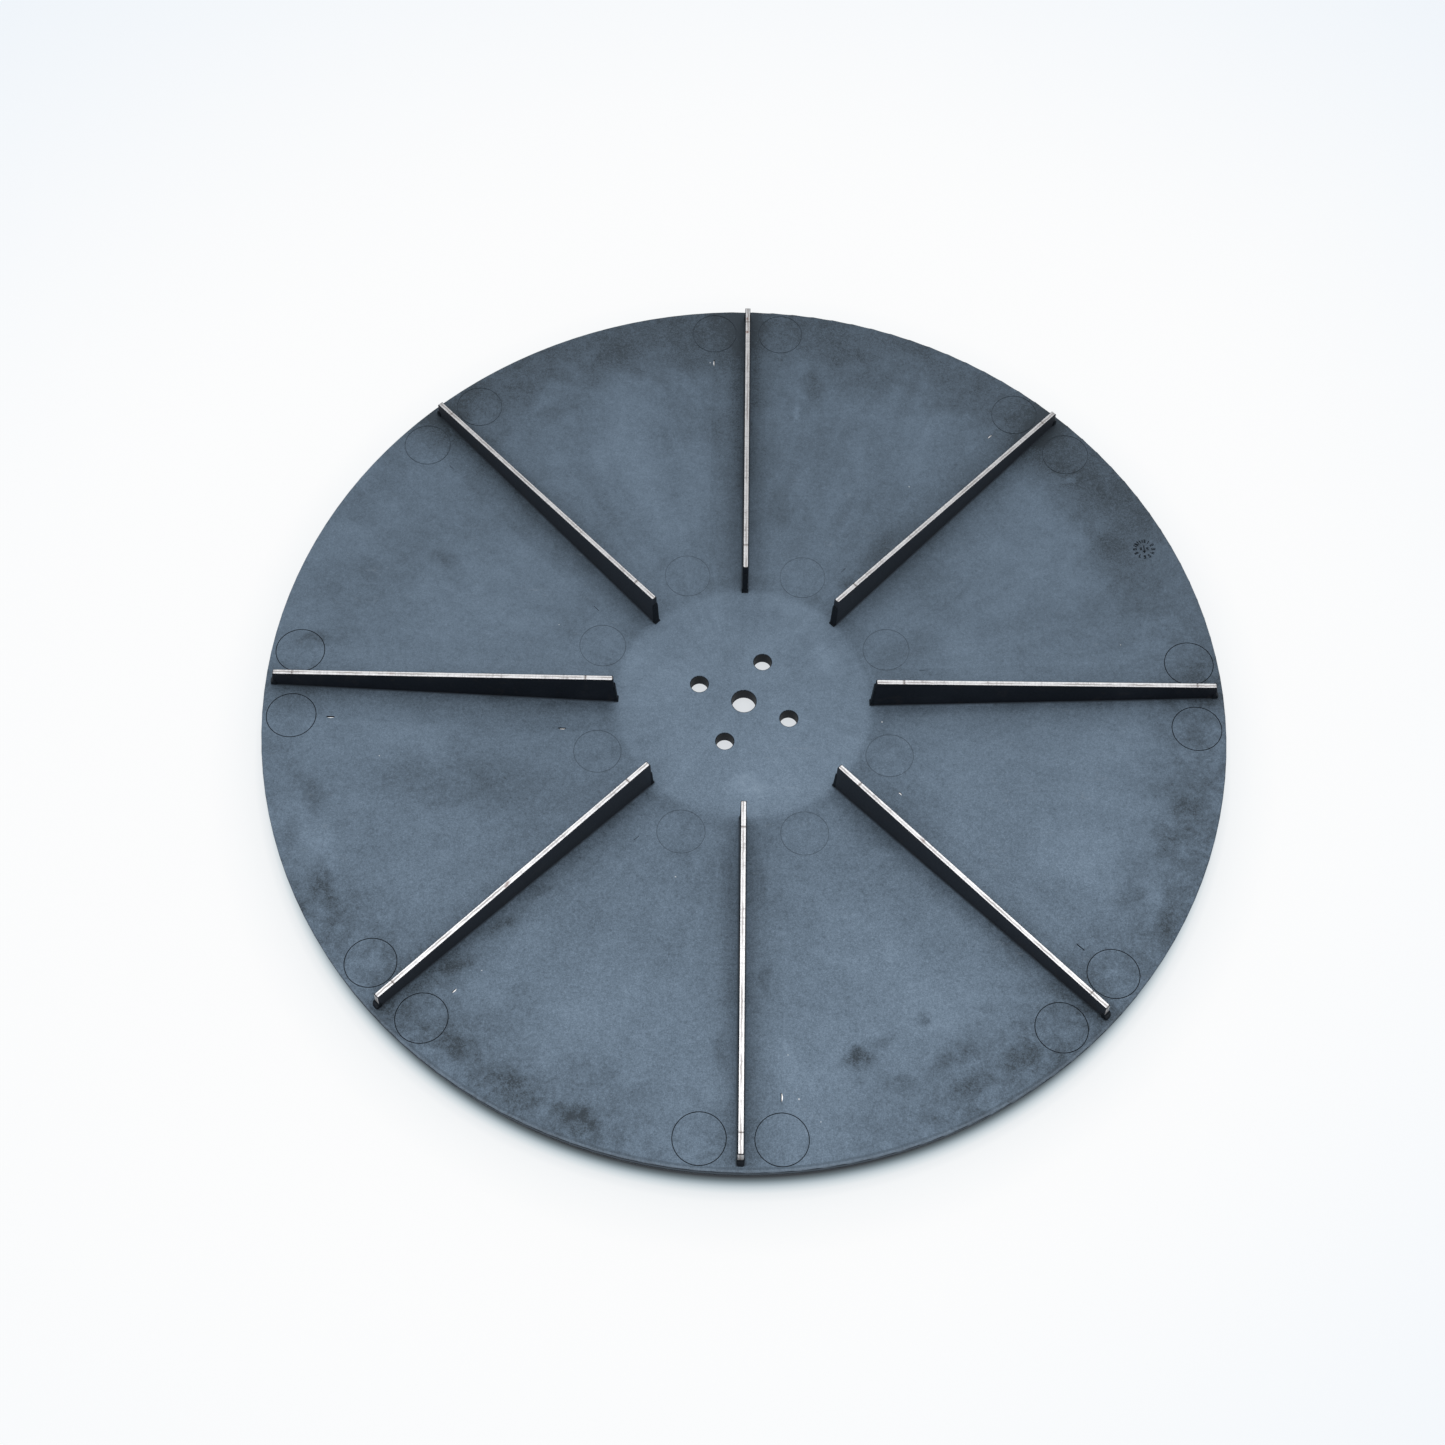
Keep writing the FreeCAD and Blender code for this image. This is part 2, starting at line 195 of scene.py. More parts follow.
def lin(*rgb):
    """sRGB 0-255 to linear."""
    out = []
    for v in rgb:
        v /= 255.0
        out.append(v / 12.92 if v <= 0.04045 else ((v + 0.055) / 1.055) ** 2.4)
    return tuple(out)


# ------------------------------------------------------------------
# Shared masks
# ------------------------------------------------------------------
def vane_frame(m, x, y):
    """Polar coordinates, and the distances across and along the nearest vane."""
    r = m.math("SQRT", m.math("ADD", m.math("MULTIPLY", x, x), m.math("MULTIPLY", y, y)))
    ang = m.math("ARCTAN2", y, x)
    turn = m.math("DIVIDE", ang, math.pi / 4)
    off = m.math("MULTIPLY", m.math("SUBTRACT", turn, m.math("ROUND", turn)), math.pi / 4)
    side = m.math("MULTIPLY", r, m.math("SINE", off))
    along = m.math("MULTIPLY", r, m.math("COSINE", off))
    return r, ang, side, along


STRETCH = 2.2


def blobs(m, vec, items):
    """Soft marks: (x, y, half length, half width, turn in degrees, strength), millimetres.
    Marks of like turn share one stretched copy of the coordinates."""
    spaces = {}
    total = None
    for cx, cy, rx, ry, deg, st in items:
        if ry > rx:
            rx, ry, deg = ry, rx, deg + 90
        if rx / ry < 1.45:
            key, radius = None, math.sqrt(rx * ry)
        else:
            key, radius = int(round(deg / 30.0)) % 6 * 30, math.sqrt(rx / STRETCH * ry)
        if key not in spaces:
            if key is None:
                spaces[key] = vec
            else:
                mp = m.node("ShaderNodeMapping", vector_type="TEXTURE")
                mp.inputs["Rotation"].default_value = (0, 0, math.radians(key))
                mp.inputs["Scale"].default_value = (STRETCH, 1, 1)
                m.link(vec, mp.inputs["Vector"])
                spaces[key] = mp.outputs[0]
        if key is None:
            at = (cx * MM, cy * MM, 0)
        else:
            c, s = math.cos(math.radians(key)), math.sin(math.radians(key))
            at = ((cx * c + cy * s) / STRETCH * MM, (cy * c - cx * s) * MM, 0)
        ln = m.node("ShaderNodeVectorMath", operation="DISTANCE")
        m.link(spaces[key], ln.inputs[0])
        ln.inputs[1].default_value = at
        v = m.range(ln.outputs["Value"], radius * MM, 0.15 * radius * MM, 0.0, st)
        total = v if total is None else m.math("MAXIMUM", total, v)
    return total


# darker handling and moulding marks on the upper surface
SMUDGES = (
    (38.8, -136.5, 7.5, 6.0, 20, 1.0), (47.0, -131.0, 9.0, 3.5, 35, 0.45),
    (27.7, 138.4, 5.5, 11.0, 0, 0.42), (13.8, 83.0, 6.0, 12.0, 0, 0.45),
    (-115.5, 55.4, 9.0, 6.5, 20, 0.42), (-142.4, -81.0, 13.0, 6.0, -55, 0.62),
    (-75.0, -146.0, 20.0, 8.0, -28, 0.75), (-96.0, -133.0, 13.0, 7.0, -38, 0.60),
    (-52.0, -160.0, 18.0, 7.0, -18, 0.80), (71.0, -134.5, 15.0, 9.0, 30, 0.62),
    (92.0, -136.0, 16.0, 7.0, 34, 0.60), (146.0, -86.0, 8.0, 20.0, -28, 0.60),
    (157.0, -43.5, 7.0, 16.0, -14, 0.42), (-154.0, -45.0, 7.0, 16.0, 16, 0.50),
    (-160.0, 19.0, 9.0, 6.0, 0, 0.48), (-112.0, 126.0, 14.0, 8.0, 45, 0.42),
    (39.6, 51.4, 4.5, 3.5, 30, 0.48), (53.0, 68.0, 26.0, 5.0, 45, 0.30),
    (-36.0, -32.0, 24.0, 3.4, 32, 0.30), (-4.0, 20.0, 3.4, 20.0, -20, 0.24),
    (60.0, 22.0, 16.0, 10.0, 20, 0.20), (124.0, 100.0, 16.0, 8.0, -38, 0.40),
    (-20.0, 150.0, 20.0, 8.0, 5, 0.20), (140.0, 62.0, 8.0, 18.0, 22, 0.22),
    (-69.7, -77.0, 8.0, 4.0, 40, 0.55), (-81.8, -91.7, 9.0, 4.0, 40, 0.55), (-95.5, -106.0, 8.0, 4.0, 40, 0.50),
    (-147.4, -77.1, 6.0, 9.0, 0, 0.60), (-158.0, -57.9, 4.0, 12.0, 10, 0.50), (-151.6, -86.6, 6.0, 5.0, 0, 0.50),
    (61.7, -122.3, 5.0, 4.0, 0, 0.60), (52.2, -144.4, 12.0, 4.0, 10, 0.50), (75.6, -145.3, 11.0, 6.0, 20, 0.55),
    (101.4, -137.0, 12.0, 6.0, 30, 0.50), (8.9, -109.9, 3.0, 10.0, 0, 0.55), (-6.4, -134.2, 3.0, 14.0, 0, 0.40),
    (-32.9, -151.7, 12.0, 6.0, -10, 0.35), (133.7, -79.7, 9.0, 7.0, 0, 0.45), (147.8, -59.0, 5.0, 12.0, -15, 0.40),
    (81.5, -119.4, 5.0, 3.0, 0, 0.35),
)
# lighter marks: scuffs, cleaner patches
PALE = (
    (31.6, 17.8, 10.0, 8.0, 0, 0.55), (2.0, -35.6, 12.0, 8.0, 0, 0.55), (-49.4, 106.8, 7.0, 1.6, 40, 0.8),
    (49.4, -61.3, 8.0, 3.0, 10, 0.5), (14.0, -138.0, 6.0, 12.0, 10, 0.45), (-8.0, -150.0, 9.0, 9.0, 0, 0.30),
    (-150.0, 95.0, 22.0, 9.0, 62, 0.35), (-60.0, -120.0, 26.0, 9.0, -40, 0.30), (120.0, -60.0, 16.0, 22.0, -25, 0.30),
    (92.0, 62.0, 30.0, 9.0, 30, 0.22), (-26.0, 100.0, 12.0, 30.0, 8, 0.22), (44.0, -100.0, 18.0, 34.0, 28, 0.42),
    (-152.0, -57.0, 12.0, 24.0, 22, 0.70), (-42.0, 96.0, 20.0, 40.0, 24, 0.55), (125.5, 95.7, 7.0, 2.2, 20, 0.85), (-31.0, -118.0, 20.0, 24.0, 0, 0.30),
    (30.0, -100.0, 3.0, 9.0, 60, 0.5), (20.0, 128.0, 2.0, 7.0, -10, 0.6),
)
# broad, soft, darker areas
SHADE = (
    (-105.0, -36.0, 44.0, 20.0, 14, 1.0), (5.0, 36.0, 22.0, 10.0, 0, 0.45), (138.0, 30.0, 20.0, 20.0, 0, 0.40),
    (-62.0, -116.0, 22.0, 16.0, 60, 0.45), (-70.0, 34.0, 30.0, 16.0, -20, 0.30), (56.0, -52.0, 22.0, 30.0, 45, 0.35),
)
# round the rim, how strongly the outer band is soiled: (turn in degrees, strength)
RIM_SOIL = (
    (0, 0.80), (14, 0.72), (30, 0.85), (48, 0.95), (62, 0.90), (78, 0.80), (92, 0.95), (108, 1.0), (124, 0.80),
    (137, 0.55), (148, 0.25), (162, 0.20), (176, 0.10), (188, 0.15), (202, 0.35), (214, 0.60), (230, 0.80), (246, 0.85),
    (262, 0.60), (272, 0.25), (282, 0.45), (298, 0.80), (312, 0.80), (324, 0.70), (336, 0.75), (350, 0.75), (360, 0.80),
)
# lint and grit: (x, y, radius)
GRIT = (
    (50.9, -8.1, 0.42), (19.0, -150.5, 0.45), (-23.5, -71.0, 0.36), (-15.0, 150.0, 0.30), (15.5, -135.5, 0.28),
    (64.0, 93.0, 0.30), (-131.0, -28.0, 0.30), (102.0, -98.0, 0.34), (-70.0, 30.0, 0.26), (140.0, 22.0, 0.26),
    (26.0, -158.0, 0.28), (-88.0, -108.0, 0.28),
)


# ------------------------------------------------------------------
# Disc plastic
# ------------------------------------------------------------------
SHEEN = Vector((0.050, 0.066, 0.084))     # what the satin surface mirrors of the soft light
GAIN = Vector((1.0, 1.0, 1.0))


def paint(r8, g8, b8):
    """Base colour for a look of r8, g8, b8 under the studio light."""
    c = lin(r8, g8, b8)
    return tuple(max(0.008, (c[i] - SHEEN[i]) * GAIN[i]) for i in range(3))


def plastic():
    m = Mat("disc_plastic")
    tc = m.node("ShaderNodeTexCoord")
    P = tc.outputs["Object"]
    x, y, z = m.xyz(P)[:3]
    r, ang, side, along = vane_frame(m, x, y)
    aside = m.math("ABSOLUTE", side)
    # height above the moulded surface
    s = m.math("ADD", m.math("MULTIPLY", m.math("MAXIMUM", m.math("SUBTRACT", r, HUB_FLAT_R), 0.0), SLOPE), THICK)
    h = m.math("SUBTRACT", z, s)
    flat = m.vec(x, y, 0.0)
    N = m.node("ShaderNodeNewGeometry").outputs["Normal"]
    nz = m.xyz(N)[2]

    # noise fields, coarse to fine
    cloud = m.noise(P, 20.0, 4.0, 0.55, 0.5)
    mott = m.noise(P, 75.0, 5.0, 0.62, 0.5)
    speck = m.noise(P, 310.0, 4.0, 0.70, 0.3)
    grain = m.noise(P, 950.0, 3.0, 0.75)
    fine = m.noise(P, 2300.0, 2.0, 0.6)
    pol = m.vec(m.math("MULTIPLY", r, 10.0), m.math("MULTIPLY", ang, 6.0), 0.0)
    streak = m.noise(pol, 2.0, 4.0, 0.6, 0.4)

    # positions shaken by noise, so that no mark has a drawn outline
    wn = m.node("ShaderNodeTexNoise")
    m.link(P, wn.inputs["Vector"])
    wn.inputs["Scale"].default_value = 60.0
    wn.inputs["Detail"].default_value = 5.0
    wn.inputs["Roughness"].default_value = 0.68
    sub = m.node("ShaderNodeVectorMath", operation="SUBTRACT")
    m.link(wn.outputs["Color"], sub.inputs[0])
    sub.inputs[1].default_value = (0.5, 0.5, 0.5)
    warp = m.node("ShaderNodeVectorMath", operation="ADD")
    m.link(flat, warp.inputs[0])
    m.link(m.scaled(sub.outputs[0], (0.016, 0.016, 0.0)), warp.inputs[1])
    smudge = blobs(m, warp.outputs[0], SMUDGES)
    pale = blobs(m, warp.outputs[0], PALE)
    patchy = m.range(m.math("ADD", m.math("MULTIPLY", mott, 0.40), m.math("MULTIPLY", speck, 0.60)), 0.42, 0.58, 0.30, 1.05)
    smudge = m.math("MULTIPLY", smudge, patchy)
    shade = blobs(m, warp.outputs[0], SHADE)

    # soiled band along the rim
    stops = [(d / 360.0, v) for d, v in RIM_SOIL]
    around = m.math("FRACT", m.math("ADD", m.math("DIVIDE", ang, 2 * math.pi), 1.0))
    soil = m.ramp(around, stops)
    edge_in = m.math("ADD", 0.1500, m.math("MULTIPLY", m.math("SUBTRACT", m.noise(P, 34.0, 5.0, 0.66, 0.8), 0.5), 0.050))
    band = m.range(m.math("SUBTRACT", r, edge_in), -0.010, 0.018)
    blotch = m.range(m.noise(P, 150.0, 5.0, 0.74, 0.6), 0.36, 0.64, 0.30, 1.0)
    far_side = m.range(y, -0.02, 0.06)
    blotch = m.math("ADD", m.math("MULTIPLY", blotch, m.math("SUBTRACT", 1.0, m.math("MULTIPLY", far_side, 0.8))), m.math("MULTIPLY", far_side, 0.50))
    rim = m.math("MULTIPLY", m.math("MULTIPLY", soil, band), blotch)

    # painted shade beside each vane, and the sink over the buried flange
    reach = m.math("ADD", 0.0125, m.math("MULTIPLY", m.math("SUBTRACT", mott, 0.5), 0.014))
    vane_side_shade = m.math("MULTIPLY", m.range(aside, reach, 0.0008), m.range(r, 0.046, 0.062))
    vane_side_shade = m.math("MULTIPLY", vane_side_shade, m.range(r, 0.06, 0.165, 0.55, 1.0))
    sink = m.math("MULTIPLY", m.range(side, 0.0143, 0.0136), m.math("MULTIPLY", m.range(side, 0.0008, 0.0020), m.range(r, 0.047, 0.052)))
    # dark gap and painted contact shade along the foot of each vane
    foot_gap_and_shade = m.math("MULTIPLY", m.range(aside, 0.0019, 0.0011), m.math("MULTIPLY", m.range(r, 0.0464, 0.0474), m.range(r, 0.1731, 0.1728)))

    # hub: lighter, with a soft edge where the dish starts
    hub_edge = m.math("ADD", 0.0468, m.math("MULTIPLY", m.math("SUBTRACT", cloud, 0.5), 0.006))
    hub = m.range(m.math("SUBTRACT", r, hub_edge), 0.0016, -0.0012)
    collar = m.math("MULTIPLY", m.range(m.math("ABSOLUTE", m.math("SUBTRACT", r, 0.0505)), 0.006, 0.0), m.range(cloud, 0.40, 0.58))

    def part(v, k, mid=0.5):
        return m.math("MULTIPLY", m.math("SUBTRACT", v, mid), k)

    tone = m.math("ADD", 0.53, part(cloud, 0.30))
    rough_side = m.range(y, 0.05, -0.10, 0.62, 1.0)      # the grain shows most on the near side
    texture = m.math("ADD", m.math("ADD", part(speck, 0.30), part(grain, 0.52)), part(fine, 0.56))
    for v in (part(mott, 0.22), m.math("MULTIPLY", texture, rough_side), part(streak, 0.16)):
        tone = m.math("ADD", tone, v)
    tone = m.math("ADD", tone, m.math("MULTIPLY", hub, 0.085))
    tone = m.math("ADD", tone, m.math("MULTIPLY", pale, 0.20))
    tone = m.math("SUBTRACT", tone, m.math("MULTIPLY", shade, 0.13))
    for v, k in ((collar, 0.06), (smudge, 0.36), (rim, 0.25), (vane_side_shade, 0.12), (sink, 0.035)):
        tone = m.math("SUBTRACT", tone, m.math("MULTIPLY", v, k))
    # painted light and shade: the tone is painted lighter on the near side and darker on the far side
    tone = m.math("SUBTRACT", tone, m.math("MULTIPLY", y, 0.50))
    val = m.math("ADD", tone, 0.0, clamp=True)
    col = m.ramp(val, [(0.0, paint(54, 60, 67)), (0.22, paint(70, 80, 89)), (0.5, paint(103, 119, 135)),
                       (0.72, paint(122, 140, 158)), (1.0, paint(148, 166, 184))])
    # soil is greyer than the plastic
    grime = m.math("MAXIMUM", smudge, m.math("MULTIPLY", rim, 0.8))
    col = m.mix(m.math("MULTIPLY", grime, 0.18), col, paint(72, 78, 84))
    # pale scuffs, grit
    sc = m.noise(m.scaled(P, (1.0, 4.0, 1.0)), 75.0, 6.0, 0.72, 1.2)
    scuff = m.math("MULTIPLY", m.range(sc, 0.60, 0.70), m.range(m.noise(P, 13.0, 2.0, 0.5), 0.50, 0.64))
    col = m.mix(m.math("MULTIPLY", scuff, 0.24), col, paint(150, 162, 174))
    grit = blobs(m, flat, [(gx, gy, gr, gr, 0, 1.0) for gx, gy, gr in GRIT])
    grit = m.math("MULTIPLY", grit, m.range(h, 0.0008, 0.0004))
    col = m.mix(m.math("MULTIPLY", grit, 0.85), col, lin(215, 218, 220))
    # ribs, feet, walls of holes and slits stay the raw, black colour; on the walls this black is painted shade, weaker
    # on the far side
    raised = m.math("MULTIPLY", m.range(h, 0.00010, 0.00035), m.range(r, 0.1742, 0.1738))
    wall = m.math("MULTIPLY", m.range(nz, 0.75, 0.35), m.math("MULTIPLY", m.range(r, 0.1742, 0.1738), m.range(y, 0.062, 0.045, 0.3, 1.0)))
    under = m.range(nz, -0.2, -0.6)
    dark = m.math("MAXIMUM", raised, m.math("SUBTRACT", wall, under, clamp=True))
    # the dark gap and painted contact shade along each vane's foot
    dark = m.math("MAXIMUM", dark, m.math("MULTIPLY", foot_gap_and_shade, 0.9))
    col = m.mix(dark, col, (0.010, 0.011, 0.013))
    # painted shade in the rings' grooves, strongest on the near side
    groove = m.math("MULTIPLY", m.range(h, -0.00004, -0.00008), m.range(h, -0.0012, -0.0009))
    deep = m.math("MULTIPLY", m.range(h, -0.00010, -0.00018), m.range(h, -0.0012, -0.0009))
    groove_shade = m.math("ADD", m.math("MULTIPLY", groove, 0.72), m.math("MULTIPLY", deep, 0.26))
    groove_shade = m.math("MULTIPLY", groove_shade, m.range(r, 0.1742, 0.1738))
    groove_shade = m.math("MULTIPLY", groove_shade, m.range(y, 0.10, 0.03, 0.42, 1.0))
    col = m.mix(groove_shade, col, (0.014, 0.017, 0.021))
    # rim: dark line along the broken top edge and under the parting line, plain wall between; on the near side the
    # rounded edge gets a painted highlight
    near_rim = m.range(y, -0.090, -0.140)
    line = m.math("MULTIPLY", m.range(m.math("ABSOLUTE", m.math("SUBTRACT", r, 0.17365)), 0.00055, 0.0002), near_rim)
    col = m.mix(m.math("MULTIPLY", line, 0.42), col, (0.020, 0.024, 0.029))
    # painted highlight on the rounded rim edge, near side only
    lip_highlight = m.math("MULTIPLY", m.range(r, 0.1740, 0.1743), m.range(nz, 0.40, 0.55))
    col = m.mix(m.math("MULTIPLY", m.math("MULTIPLY", lip_highlight, near_rim), 0.35), col, paint(116, 126, 136))
    col = m.mix(m.math("MULTIPLY", under, 0.60), col, (0.045, 0.056, 0.068))
    m.link(col, m.bsdf.inputs["Base Color"])

    rough = m.math("ADD", 0.47, part(mott, 0.16))
    rough = m.math("ADD", rough, part(speck, 0.10))
    rough = m.math("ADD", rough, m.math("MULTIPLY", grime, 0.10))
    rough = m.math("ADD", rough, m.math("MULTIPLY", scuff, 0.10))
    rough = m.math("SUBTRACT", rough, m.math("MULTIPLY", hub, 0.02))
    m.link(rough, m.bsdf.inputs["Roughness"])
    m.bsdf.inputs["IOR"].default_value = 1.50
    m.bsdf.inputs["Specular IOR Level"].default_value = 0.80
    m.bsdf.inputs["Specular Tint"].default_value = (0.60, 0.79, 1.0, 1.0)
    hgt = m.math("ADD", m.math("MULTIPLY", grain, 0.65), m.math("MULTIPLY", fine, 0.35))
    b1 = m.bump(mott, 0.22, 0.0005)
    b2 = m.bump(hgt, 0.40, 0.00010, b1)
    m.link(b2, m.bsdf.inputs["Normal"])
    return m.m


def raw_plastic():
    """Ribs, feet, hole walls, slits and edges: the unworn black of the moulding; on walls and grooves this black also
    stands for painted shade.
    """
    m = Mat("disc_plastic_raw")
    tc = m.node("ShaderNodeTexCoord")
    P = tc.outputs["Object"]
    mott = m.noise(P, 260.0, 4.0, 0.65, 0.4)
    grain = m.noise(P, 1500.0, 3.0, 0.70)
    v = m.math("ADD", m.math("MULTIPLY", mott, 0.6), m.math("MULTIPLY", grain, 0.4))
    col = m.ramp(v, [(0.30, lin(15, 18, 22)), (0.52, lin(24, 28, 33)), (0.72, lin(40, 46, 53))])
    x, y, z = m.xyz(P)[:3]
    r = m.math("SQRT", m.math("ADD", m.math("MULTIPLY", x, x), m.math("MULTIPLY", y, y)))
    # the rim's wall is painted lighter between its edge and the parting line, a painted light on its upper half, and is
    # duller
    on_rim = m.range(r, 0.1741, 0.1743)
    top = surf(DISC_R)
    painted_wall_light = m.math("MULTIPLY", m.range(z, top - 0.0031, top - 0.0028), m.range(z, top - 0.0005, top - 0.0008))
    col = m.mix(m.math("MULTIPLY", m.math("MULTIPLY", painted_wall_light, on_rim), 0.80), col, lin(78, 88, 98))
    m.link(col, m.bsdf.inputs["Base Color"])
    rough = m.math("ADD", 0.52, m.math("MULTIPLY", m.math("SUBTRACT", mott, 0.5), 0.20))
    m.link(m.math("ADD", rough, m.math("MULTIPLY", on_rim, 0.34)), m.bsdf.inputs["Roughness"])
    m.bsdf.inputs["IOR"].default_value = 1.50
    m.bsdf.inputs["Specular IOR Level"].default_value = 0.10
    m.bsdf.inputs["Specular Tint"].default_value = (0.72, 0.86, 1.0, 1.0)
    b1 = m.bump(mott, 0.25, 0.00020)
    m.link(m.bump(grain, 0.35, 0.00006, b1), m.bsdf.inputs["Normal"])
    return m.m


def mark_raw(obj, slot):
    """Gives the raw finish to everything that stands off the worn upper surface."""
    rim_r = DISC_R - 0.8 * MM
    z_top = surf(DISC_R)
    me = obj.data
    for p in me.polygons:
        c, n = p.center, p.normal
        r = math.hypot(c.x, c.y)
        h = c.z - surf(r)
        if h < -(THICK - 1.0 * MM) and n.z < 0.5:
            continue                                   # underside
        if r > rim_r:
            raw = n.z < 0.55
        else:
            dial = math.hypot(c.x - DIAL[0], c.y - DIAL[1]) < 6.0 * MM
            # on the near half, in the hub and at the dial, walls and grooves also take the black finish, as painted
            # shade in these recesses
            recess_shade_zone = dial or c.y < 0.045 or r < HUB_FLAT_R
            raw = h > 0.14 * MM or (recess_shade_zone and (abs(n.z) < 0.6 or h < -0.14 * MM))
        if raw:
            p.material_index = slot


# ------------------------------------------------------------------
# Vane steel: black rolled faces, bright sheared edges
# ------------------------------------------------------------------
RUST = ((0.0, 160.5, 2.6, 1.6, 90, 0.0), (0.0, 158.5, 1.4, 1.1, 0, 1.0), (0.0, 165.2, 1.2, 1.2, 0, 0.8),
        (-80.5, -80.5, 2.2, 1.0, 45, 0.8), (62.0, -62.0, 1.6, 1.1, -45, 0.45), (-128.0, 0.0, 2.0, 1.0, 0, 0.35))


def steel():
    m = Mat("vane_steel")
    tc = m.node("ShaderNodeTexCoord")
    P = tc.outputs["Object"]
    x, y, z = m.xyz(P)[:3]
    r, ang, side, along = vane_frame(m, x, y)
    N = m.node("ShaderNodeNewGeometry").outputs["Normal"]
    nx, ny, nz = m.xyz(N)[:3]
    nr = m.math("DIVIDE", m.math("ADD", m.math("MULTIPLY", nx, x), m.math("MULTIPLY", ny, y)), r)
    top = m.range(m.math("ABSOLUTE", nz), 0.80, 0.93)
    # the sheet's corners are rolled over, so the bright part of the top has round ends
    cx = m.math("MAXIMUM", m.math("SUBTRACT", m.math("ABSOLUTE", side), 0.00015), 0.0)
    cy = m.math("MAXIMUM", m.math("MAXIMUM", m.math("SUBTRACT", 0.0488, along), m.math("SUBTRACT", along, 0.1698)), 0.0)
    corner = m.math("SQRT", m.math("ADD", m.math("MULTIPLY", cx, cx), m.math("MULTIPLY", cy, cy)))
    top = m.math("MULTIPLY", top, m.math("MAXIMUM", m.range(corner, 0.00092, 0.00078), m.range(m.math("ABSOLUTE", side), 0.004, 0.005)))
    in_nick = m.math("MINIMUM", m.math("ABSOLUTE", m.math("SUBTRACT", along, VANE_R_IN + 10.0 * MM)),
                     m.math("ABSOLUTE", m.math("SUBTRACT", along, VANE_R_OUT - 7.05 * MM)))
    flank = m.math("MULTIPLY", m.range(in_nick, 0.00045, 0.00035), m.range(m.math("ABSOLUTE", nz), 0.30, 0.50))
    flank = m.math("MULTIPLY", flank, m.range(m.math("ABSOLUTE", side), 0.00080, 0.00074))
    top = m.math("MAXIMUM", top, flank)
    end = m.math("MULTIPLY", m.range(nr, 0.80, 0.93), m.range(m.math("ABSOLUTE", nz), 0.30, 0.20))
    cut = m.math("MAXIMUM", top, end)
    # sheared edge: fine strokes across the sheet, a duller torn band along the middle
    s3 = m.vec(along, m.math("MULTIPLY", side, 0.16), m.math("MULTIPLY", z, 0.4))
    stroke = m.noise(s3, 1300.0, 3.0, 0.72)
    stroke2 = m.noise(s3, 360.0, 4.0, 0.65, 0.4)
    slow = m.noise(s3, 70.0, 3.0, 0.6, 0.4)
    wob = m.math("MULTIPLY", m.math("SUBTRACT", stroke2, 0.5), 0.0009)
    band = m.range(m.math("ABSOLUTE", m.math("ADD", m.math("ADD", side, 0.00010), wob)), 0.00010, 0.00050, 1.0, 0.0)
    band = m.math("MULTIPLY", band, m.range(slow, 0.34, 0.60, 0.30, 1.0))
    cutcol = m.ramp(m.math("ADD", m.math("MULTIPLY", stroke, 0.6), m.math("MULTIPLY", stroke2, 0.4)),
                    [(0.28, lin(180, 180, 182)), (0.48, lin(236, 237, 240)), (0.68, lin(253, 254, 255))])
    cutcol = m.mix(m.math("MULTIPLY", band, 0.72), cutcol, lin(140, 132, 128))
    nick = m.math("MULTIPLY", m.range(in_nick, 0.00075, 0.0001), m.range(stroke2, 0.34, 0.58, 0.35, 1.0))
    cutcol = m.mix(m.math("MULTIPLY", nick, 0.50), cutcol, lin(120, 104, 94))
    # painted shade: the cut edges are painted darker towards the far side and on the end faces
    far_and_end_shade = m.math("ADD", m.math("MULTIPLY", m.range(y, -0.045, 0.14), 0.34), m.math("MULTIPLY", end, 0.40), clamp=True)
    far_and_end_shade = m.math("MULTIPLY", far_and_end_shade, m.range(m.math("ABSOLUTE", side), 0.005, 0.004))
    cutcol = m.mix(far_and_end_shade, cutcol, lin(108, 106, 104))
    pit = m.range(m.noise(s3, 640.0, 2.0, 0.6), 0.66, 0.74)
    cutcol = m.mix(m.math("MULTIPLY", pit, 0.55), cutcol, lin(70, 60, 54))
    rust = blobs(m, m.vec(x, y, 0.0), [b for b in RUST if b[5] > 0])
    rust = m.math("MULTIPLY", rust, m.range(m.noise(P, 900.0, 3.0, 0.7), 0.36, 0.56))
    cutcol = m.mix(m.math("MULTIPLY", rust, 0.85), cutcol, lin(112, 66, 46))
    # rolled face
    mill = m.noise(P, 48.0, 5.0, 0.62, 0.5)
    millf = m.noise(m.scaled(P, (1, 1, 3)), 640.0, 3.0, 0.65)
    scale = m.range(m.noise(P, 150.0, 4.0, 0.65, 0.8), 0.56, 0.66)
    face = m.ramp(m.math("ADD", m.math("MULTIPLY", mill, 0.65), m.math("MULTIPLY", millf, 0.35)),
                  [(0.25, lin(11, 14, 20)), (0.5, lin(19, 23, 31)), (0.75, lin(33, 37, 44))])
